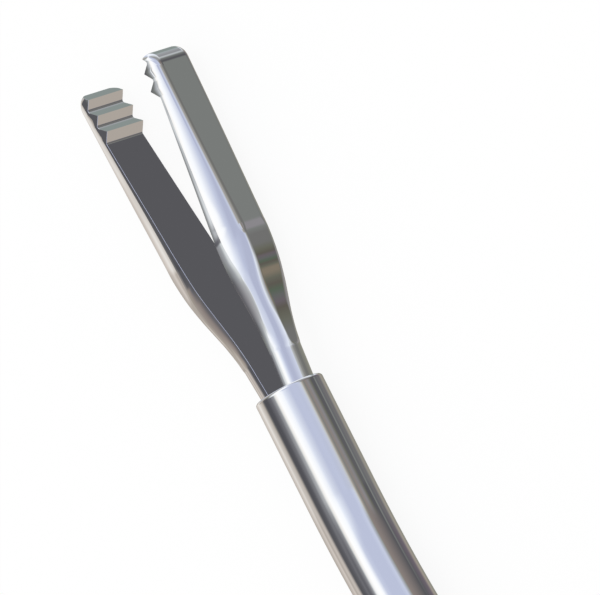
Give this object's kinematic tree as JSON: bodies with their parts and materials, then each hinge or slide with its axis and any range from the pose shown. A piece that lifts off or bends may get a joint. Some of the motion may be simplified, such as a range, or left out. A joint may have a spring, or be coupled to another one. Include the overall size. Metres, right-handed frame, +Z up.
{
  "type": "ophthalmic forceps",
  "caption": "Working end of a slender eye-surgery forceps: a thin, gently bent tube slides forward over toothed, spring-apart jaws and presses them together.",
  "frame": {"origin": "centre of the footprint, on the surface that the part lies on", "axes": "+X towards the jaw tips, +Y to the left jaw, +Z up; the jaws open and the tube bends in the level plane"},
  "size_m": [0.0168, 0.0024, 0.0006],
  "materials": {
    "tube_steel": "polished stainless steel",
    "wire_steel": "drawn stainless steel wire",
    "jaw_steel": "polished stainless steel"
  },
  "bodies": {
    "core": {"core_wire": "wire_steel"},
    "tube": {"outer_tube": "tube_steel"},
    "left": {"left_jaw": "jaw_steel"},
    "right": {"right_jaw": "jaw_steel"}
  },
  "joints": [
    {"name": "tube_slide", "type": "slide", "parent": "core", "child": "tube", "axis": [1, 0, 0], "range_m": [0, 0.00082], "stiffness_N_per_m": 20},
    {"name": "left_jaw_flex", "type": "hinge", "parent": "core", "child": "left", "pos_m": [0.00461, 0.00064, 0.00032], "axis": [0, 0, -1], "range_deg": [0, 5.7]},
    {"name": "right_jaw_flex", "type": "hinge", "parent": "core", "child": "right", "pos_m": [0.00461, 0.00064, 0.00032], "axis": [0, 0, 1], "range_deg": [0, 5.7]}
  ],
  "couplings": [
    {"joint": "left_jaw_flex", "follows": "tube_slide", "rad_per_m": 121.32},
    {"joint": "right_jaw_flex", "follows": "tube_slide", "rad_per_m": 121.32}
  ]
}
